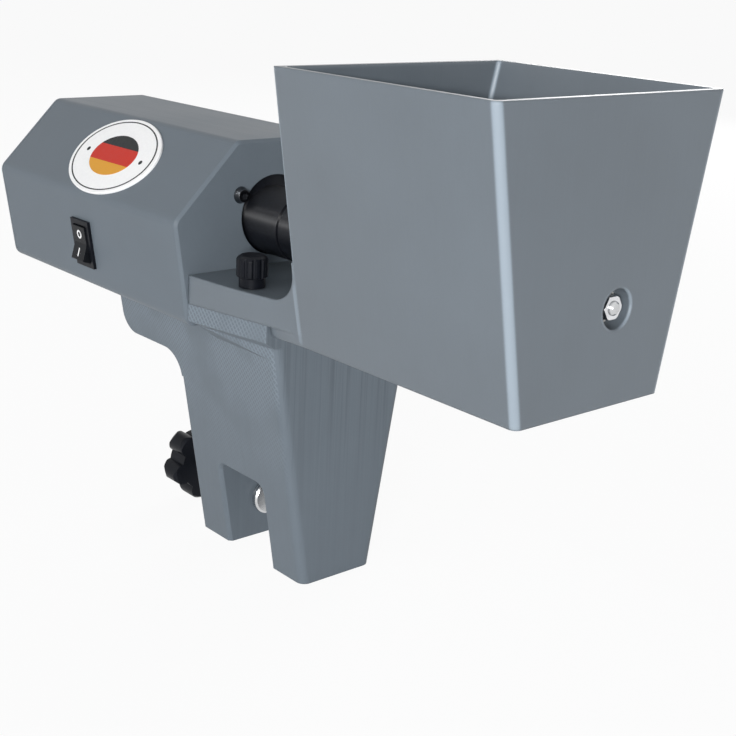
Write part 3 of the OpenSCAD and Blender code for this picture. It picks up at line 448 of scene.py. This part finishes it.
for name, lo, hi, ink, slot in (("badge_band_dark", 0.43, 1.0, "dark_ink", "black_plastic"),
                                ("badge_band_red", -0.36, 0.43, "red_ink", "pale_plastic"),
                                ("badge_band_amber", -1.0, -0.36, "amber_ink", "pale_plastic")):
    bm = bmesh.new()
    slab(bm, band(lo * ROUNDEL, hi * ROUNDEL), INK_FOOT, BAND_TOP, badge_oval)
    piece(name, bm, ink, "base", smooth=False)
for name, x in (("badge_dot_a", -0.0218), ("badge_dot_b", 0.0222)):
    bm = bmesh.new()
    lathe(bm, [(0, INK_FOOT), (DOT_R, INK_FOOT), (DOT_R, 0.00134), (0, 0.00136)],
          badge_at @ Matrix.Translation((x, 0, 0)), 24)
    piece(name, bm, "dark_ink", "base")

# marks on the rocker: a ring on the pressed half, a bar on the raised half
ROCKER_AXIS = (-0.0884, -0.051529, 0.1284)
TILT = math.atan(6.5 / 44.2)    # the cover's front face leans in towards its bottom
ROCK = math.radians(-11)        # the rocker rests on its O side
MARK_TOP = 0.00006
RING_R_IN, RING_R_OUT = 0.00115, 0.00195
BAR_X, BAR_Y = 0.00035, 0.0019
rocker_at = (Matrix.Translation(ROCKER_AXIS) @ Matrix.Rotation(TILT, 4, "X")
             @ Matrix.Rotation(ROCK, 4, "X"))


def rocker_face(sign, along):
    """Frame on one slanting half of the rocker; along is the distance from its middle line."""
    up = Vector((0, -0.0018, 0.0083 * sign)).normalized()
    at = Vector((0, -0.0020, 0)) + up * along
    x = Vector((1, 0, 0))
    y = up if sign > 0 else -up
    return rocker_at @ basis(at, x, y)


bm = bmesh.new()
lathe(bm, [(RING_R_IN, SUNK), (RING_R_OUT, SUNK), (RING_R_OUT, MARK_TOP), (RING_R_IN, MARK_TOP),
           (RING_R_IN, SUNK)],
      rocker_face(1, 0.0040) @ Matrix.Diagonal((0.95, 1.0, 1, 1)), 48)
piece("rocker_mark_ring", bm, "white_ink", "switch_rocker")
bm = bmesh.new()
slab(bm, [(-BAR_X, -BAR_Y), (BAR_X, -BAR_Y), (BAR_X, BAR_Y), (-BAR_X, BAR_Y)], SUNK, MARK_TOP,
     rocker_face(-1, 0.0042))
piece("rocker_mark_bar", bm, "white_ink", "switch_rocker", smooth=False)


# clamp screw with its rolled thread, in place of the plain solid
THREAD_DEPTH = 0.61       # of the pitch
THREAD_STEPS = 40         # points in one turn of the helix
ROUND_STEPS = 48
TOOTH = ((0.0, 0.0), (0.40, 1.0), (0.60, 1.0), (1.0, 0.0))    # share of the pitch, share of the depth


def threaded_rod(name, x0, x1, y, z, r, pitch, body, material, hidden, neck=None):
    """Rod along X with a helical thread; neck is an optional (length, radius) plain end."""
    bm = bmesh.new()
    depth = THREAD_DEPTH * pitch
    turns = (x1 - x0) / pitch
    count = int(turns * THREAD_STEPS)
    rows = []
    for i in range(count + 1):
        ang = 2 * math.pi * i / THREAD_STEPS
        base_x = x0 + pitch * i / THREAD_STEPS - pitch
        row = []
        for share, drop in TOOTH:
            x = min(max(base_x + share * pitch, x0), x1)
            rr = r - depth * drop
            row.append(bm.verts.new((x, y + rr * math.cos(ang), z + rr * math.sin(ang))))
        rows.append(row)
    for a, b in zip(rows, rows[1:]):
        for k in range(len(TOOTH) - 1):
            bm.faces.new((a[k], b[k], b[k + 1], a[k + 1]))
    for x, side in ((x0, -1), (x1, 1)):
        turn = [2 * math.pi * i / ROUND_STEPS for i in range(ROUND_STEPS)]
        ring = [bm.verts.new((x, y + r * 0.985 * math.cos(a), z + r * 0.985 * math.sin(a))) for a in turn]
        tip = [bm.verts.new((x + side * 0.00002, y + r * 0.8 * math.cos(a), z + r * 0.8 * math.sin(a)))
               for a in turn]
        for i in range(ROUND_STEPS):
            j = (i + 1) % ROUND_STEPS
            bm.faces.new((ring[i], ring[j], tip[j], tip[i]))
        bm.faces.new(tip if side > 0 else tip[::-1])
    if neck:
        lathe(bm, [(0, 0), (neck[1], 0), (neck[1], neck[0]), (0, neck[0])],
              basis((x1, y, z), (0, 1, 0), (0, 0, 1)), ROUND_STEPS)
    ob = piece(name, bm, material, body)
    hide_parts(hidden)


CLAMP_Z = 0.0189
CLAMP_R = 0.00398
CLAMP_PITCH = 0.00125
CLAMP_NECK_R = 0.00298
THREAD_END = -0.01925     # the thread's last X, where the plain neck begins
low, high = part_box("clamp_screw")
threaded_rod("clamp_thread", low.x, THREAD_END, 0.0, CLAMP_Z, CLAMP_R, CLAMP_PITCH, "clamp_turn", "turned",
             "clamp_screw", neck=(high.x - THREAD_END, CLAMP_NECK_R))

# ---------------------------------------------------------------- stage
FLOOR_HALF = 14           # half the floor's side
FLOOR_GAP = 0.0001        # the floor lies this far under the feet
FLOOR_GLOW = 0.93         # share of plain white that the camera sees; the rest keeps the shadow
DIM_WORLD = 0.22
bm = bmesh.new()
bmesh.ops.create_grid(bm, x_segments=1, y_segments=1, size=FLOOR_HALF)
floor_mesh = bpy.data.meshes.new("floor")
bm.to_mesh(floor_mesh)
bm.free()
floor = bpy.data.objects.new("floor", floor_mesh)
scene.collection.objects.link(floor)
floor.location.z = -FLOOR_GAP
t = Tree("pale_floor")
t.bsdf.inputs["Base Color"].default_value = (0.86, 0.86, 0.87, 1)
t.bsdf.inputs["Roughness"].default_value = 0.9
glow = t.add("ShaderNodeEmission")
glow.inputs["Color"].default_value = (1, 1, 1, 1)
glow.inputs["Strength"].default_value = 1.0
path = t.add("ShaderNodeLightPath")
seen = t.math("MAXIMUM", t.math("MAXIMUM", path.outputs["Is Camera Ray"], path.outputs["Is Glossy Ray"]),
              path.outputs["Is Transmission Ray"])
mixer = t.add("ShaderNodeMixShader")
t.link(t.math("MULTIPLY", seen, FLOOR_GLOW), mixer.inputs[0])
t.link(t.bsdf.outputs["BSDF"], mixer.inputs[1])
t.link(glow.outputs[0], mixer.inputs[2])
t.link(mixer.outputs[0], t.out.inputs["Surface"])
floor_mesh.materials.append(t.mat)

world = bpy.data.worlds.new("studio")
scene.world = world
world.use_nodes = True
wn = world.node_tree
wn.nodes.clear()
w_out = wn.nodes.new("ShaderNodeOutputWorld")
w_dim = wn.nodes.new("ShaderNodeBackground")
w_dim.inputs["Color"].default_value = (0.95, 0.97, 1.0, 1)
w_dim.inputs["Strength"].default_value = DIM_WORLD
w_white = wn.nodes.new("ShaderNodeBackground")
w_white.inputs["Color"].default_value = (1, 1, 1, 1)
w_path = wn.nodes.new("ShaderNodeLightPath")
w_seen = w_path.outputs["Is Camera Ray"]
for kind in ("Is Glossy Ray", "Is Transmission Ray"):
    w_most = wn.nodes.new("ShaderNodeMath")
    w_most.operation = "MAXIMUM"
    wn.links.new(w_seen, w_most.inputs[0])
    wn.links.new(w_path.outputs[kind], w_most.inputs[1])
    w_seen = w_most.outputs[0]
w_mix = wn.nodes.new("ShaderNodeMixShader")
wn.links.new(w_seen, w_mix.inputs[0])
wn.links.new(w_dim.outputs[0], w_mix.inputs[1])
wn.links.new(w_white.outputs[0], w_mix.inputs[2])
wn.links.new(w_mix.outputs[0], w_out.inputs["Surface"])

# ---------------------------------------------------------------- camera
AZ, EL, ROLL = math.radians(48.87), math.radians(17.598), math.radians(2.64)
FOCAL_PX, FRAME_PX = 1331.713, 736
SENSOR = 36
CAMERA_AT = (0.43419, -0.33693, 0.26023)
back = Vector((math.sin(AZ) * math.cos(EL), -math.cos(AZ) * math.cos(EL), math.sin(EL)))
right = Vector((math.cos(AZ), math.sin(AZ), 0))
up = back.cross(right)
cam_x = right * math.cos(ROLL) + up * math.sin(ROLL)
cam_y = -right * math.sin(ROLL) + up * math.cos(ROLL)
cam_data = bpy.data.cameras.new("camera")
cam_data.sensor_fit = "HORIZONTAL"
cam_data.sensor_width = SENSOR
cam_data.lens = SENSOR * FOCAL_PX / FRAME_PX
cam_data.clip_start = 0.01
cam_data.clip_end = 60
cam = bpy.data.objects.new("camera", cam_data)
scene.collection.objects.link(cam)
cam_at = Matrix((cam_x, cam_y, back)).transposed().to_4x4()
cam_at.translation = Vector(CAMERA_AT)
cam.matrix_world = cam_at
scene.camera = cam


# ---------------------------------------------------------------- lamps
MIDDLE = (0.0, 0.0, 0.14)
HOPPER = (0.11, -0.02, 0.165)
MOTOR = (0.0, -0.015, 0.150)


def lamp(name, direction, distance, size, power, target=MIDDLE):
    """Rectangular soft lamp that the target sees at (azimuth, elevation) degrees, counted as the camera's."""
    az, el = (math.radians(a) for a in direction)
    away = Vector((math.sin(az) * math.cos(el), -math.cos(az) * math.cos(el), math.sin(el)))
    data = bpy.data.lights.new(name, "AREA")
    data.shape = "RECTANGLE"
    data.size, data.size_y = size
    data.energy = power
    ob = bpy.data.objects.new(name, data)
    scene.collection.objects.link(ob)
    ob.location = Vector(target) + away * distance
    ob.rotation_euler = away.to_track_quat("Z", "Y").to_euler()


lamp("key", (40, 8), 1.6, (0.60, 0.05), 26.0, HOPPER)
lamp("strip_high", (2, 36), 1.1, (0.5, 0.02), 1.1, MOTOR)
lamp("strip_low", (2, 22), 1.1, (0.5, 0.02), 1.1, MOTOR)
lamp("fill_right", (95, 15), 1.8, (0.8, 1.0), 1.0)
lamp("top", (20, 80), 1.6, (1.2, 1.2), 0.3)
lamp("rim_back", (205, 20), 1.8, (1.0, 1.0), 13.0)

scene.view_settings.view_transform = "Standard"
